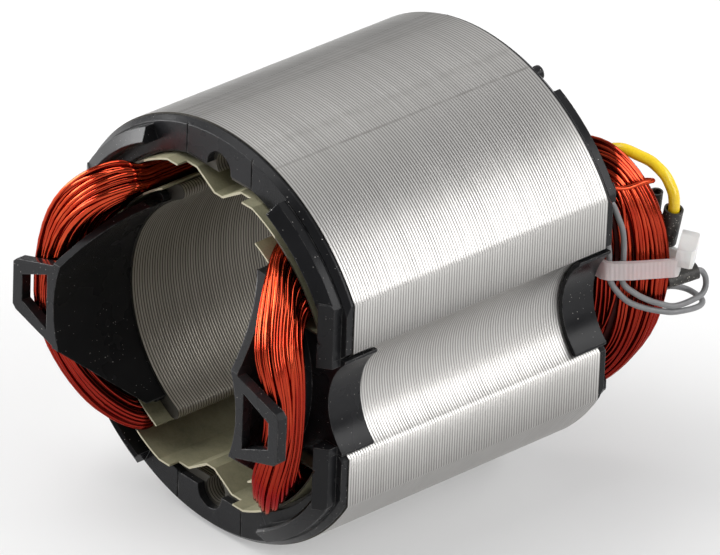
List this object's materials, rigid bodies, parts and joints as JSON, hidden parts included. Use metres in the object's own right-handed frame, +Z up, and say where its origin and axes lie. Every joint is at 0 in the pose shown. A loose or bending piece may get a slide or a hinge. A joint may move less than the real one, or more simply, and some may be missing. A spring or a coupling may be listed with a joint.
{
  "type": "motor stator",
  "caption": "Universal motor field stator: a round laminated steel stack with wound coils on its poles, black insulating end frames, fibre slot liners, sleeved leads and a cable tie.",
  "frame": {"origin": "on the bore axis, midway along the lamination stack", "axes": "+Y along the motor axis from the hook end to the lead end, +X through the right pole, +Z up through the upper screw channel"},
  "size_m": [0.0806, 0.1136, 0.0872],
  "materials": {
    "sheet_steel": "bright ground edges of punched sheets",
    "black_plastic": "moulded, slightly satin",
    "slot_fibre": "greenish grey insulating fibre",
    "enamelled_wire": "glossy red enamel",
    "yellow_insulation": "smooth insulation",
    "grey_insulation": "smooth insulation",
    "braided_sleeving": "varnished glass braid",
    "tinned_metal": "tinned",
    "natural_nylon": "milky moulded nylon"
  },
  "bodies": {
    "root": {"lamination_stack": "sheet_steel", "front_end_frame": "black_plastic", "rear_end_frame": "black_plastic", "upper_slot_liner": "slot_fibre", "lower_slot_liner": "slot_fibre", "left_field_coil": "enamelled_wire", "right_field_coil": "enamelled_wire", "coil_binding_turn": "enamelled_wire", "yellow_lead": "yellow_insulation", "inner_grey_lead": "grey_insulation", "outer_grey_lead": "grey_insulation", "yellow_lead_sleeve": "braided_sleeving", "coil_tail_sleeve": "braided_sleeving", "grey_lead_sleeve": "braided_sleeving", "yellow_lead_crimp": "tinned_metal", "coil_tail_crimp": "tinned_metal", "grey_lead_crimp": "tinned_metal", "cable_tie": "natural_nylon"}
  },
  "joints": []
}
